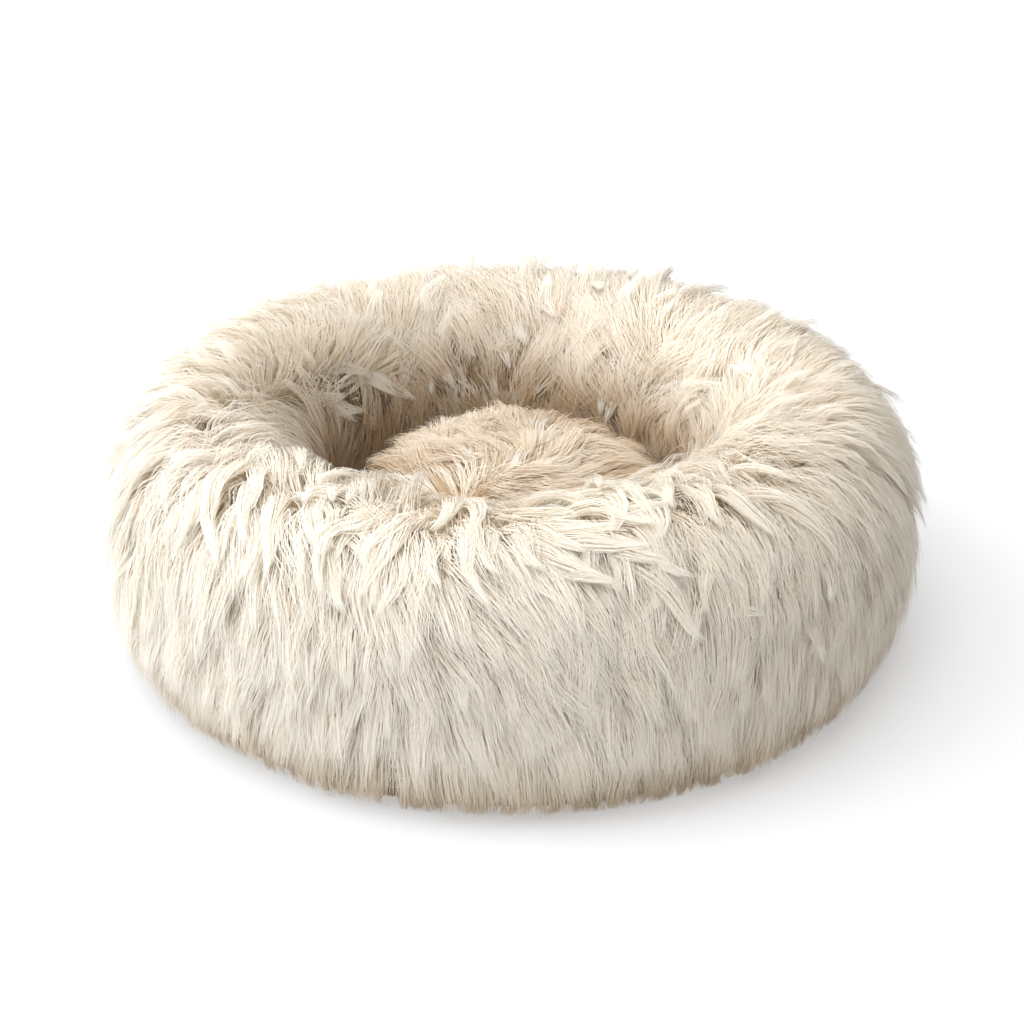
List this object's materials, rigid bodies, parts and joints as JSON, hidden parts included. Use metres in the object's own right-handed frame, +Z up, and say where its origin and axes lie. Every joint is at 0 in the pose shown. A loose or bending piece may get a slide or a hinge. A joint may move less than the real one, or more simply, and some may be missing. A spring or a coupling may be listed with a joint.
{
  "type": "pet cushion bed",
  "caption": "Round plush pet bed: a raised bolster ring of long cream faux fur around a loose fur cushion, with zipped covers underneath.",
  "frame": {"origin": "on the floor, at the middle of the bed's footprint", "axes": "+Z up; the front as pictured faces -Y; the zips run around the back, +Y"},
  "size_m": [0.6, 0.6, 0.196],
  "materials": {
    "fur": "long shaggy faux fur, cream, tips slightly lighter than the roots",
    "oxford": "woven Oxford cloth, matt, with soft printed grip studs under the bed",
    "nonwoven": "thin white non-woven lining cloth",
    "fibre": "white hollow-fibre filling",
    "tape": "woven cream tape",
    "nylon": "moulded nylon coil teeth, satin",
    "zip_metal": "plain nickel-plated zinc",
    "label": "blank white satin ribbon"
  },
  "bodies": {
    "bed": {"base_cloth": "oxford", "base_wadding": "fibre", "floor_lining": "nonwoven", "facing_tape": "tape", "skirt_binding": "tape", "care_label": "label", "bolster_fill": "fibre", "bolster_bag_top": "nonwoven", "bolster_bag_bottom": "nonwoven", "wall_fur_right": "fur", "wall_fur_back": "fur", "wall_fur_left": "fur", "wall_fur_front": "fur", "well_fur_right": "fur", "well_fur_back": "fur", "well_fur_left": "fur", "well_fur_front": "fur", "bed_zip_inner_tape": "tape", "bed_zip_outer_tape": "tape", "bed_zip_inner_teeth": "nylon", "bed_zip_outer_teeth": "nylon", "bed_zip_closed_stop": "zip_metal", "bed_zip_open_stop": "zip_metal"},
    "cushion": {"cushion_cloth": "oxford", "cushion_facing_tape": "tape", "cushion_fill": "fibre", "cushion_bag_top": "nonwoven", "cushion_bag_bottom": "nonwoven", "cushion_fur": "fur", "cushion_zip_inner_tape": "tape", "cushion_zip_outer_tape": "tape", "cushion_zip_inner_teeth": "nylon", "cushion_zip_outer_teeth": "nylon", "cushion_zip_closed_stop": "zip_metal", "cushion_zip_open_stop": "zip_metal"},
    "bed_zip_slider": {"bed_zip_slider": "zip_metal"},
    "bed_zip_pull": {"bed_zip_pull": "zip_metal"},
    "cushion_zip_slider": {"cushion_zip_slider": "zip_metal"},
    "cushion_zip_pull": {"cushion_zip_pull": "zip_metal"}
  },
  "joints": [
    {"name": "cushion_lift", "type": "slide", "parent": "bed", "child": "cushion", "axis": [0, 0, 1], "range_m": [0, 0.2]},
    {"name": "bed_zip_travel", "type": "hinge", "parent": "bed", "child": "bed_zip_slider", "pos_m": [0, 0, 0.009], "axis": [0, 0, 1], "range_deg": [0, 135]},
    {"name": "bed_zip_pull_flip", "type": "hinge", "parent": "bed_zip_slider", "child": "bed_zip_pull", "pos_m": [0.23113, 0.09529, 0.0039], "axis": [-0.9245, -0.3812, 0], "range_deg": [0, 165]},
    {"name": "cushion_zip_travel", "type": "hinge", "parent": "cushion", "child": "cushion_zip_slider", "pos_m": [0, 0, 0.0262], "axis": [0, 0, 1], "range_deg": [0, 108]},
    {"name": "cushion_zip_pull_flip", "type": "hinge", "parent": "cushion_zip_slider", "child": "cushion_zip_pull", "pos_m": [0.08176, 0.0593, 0.0211], "axis": [-0.8095, -0.5872, 0], "range_deg": [0, 20]}
  ]
}
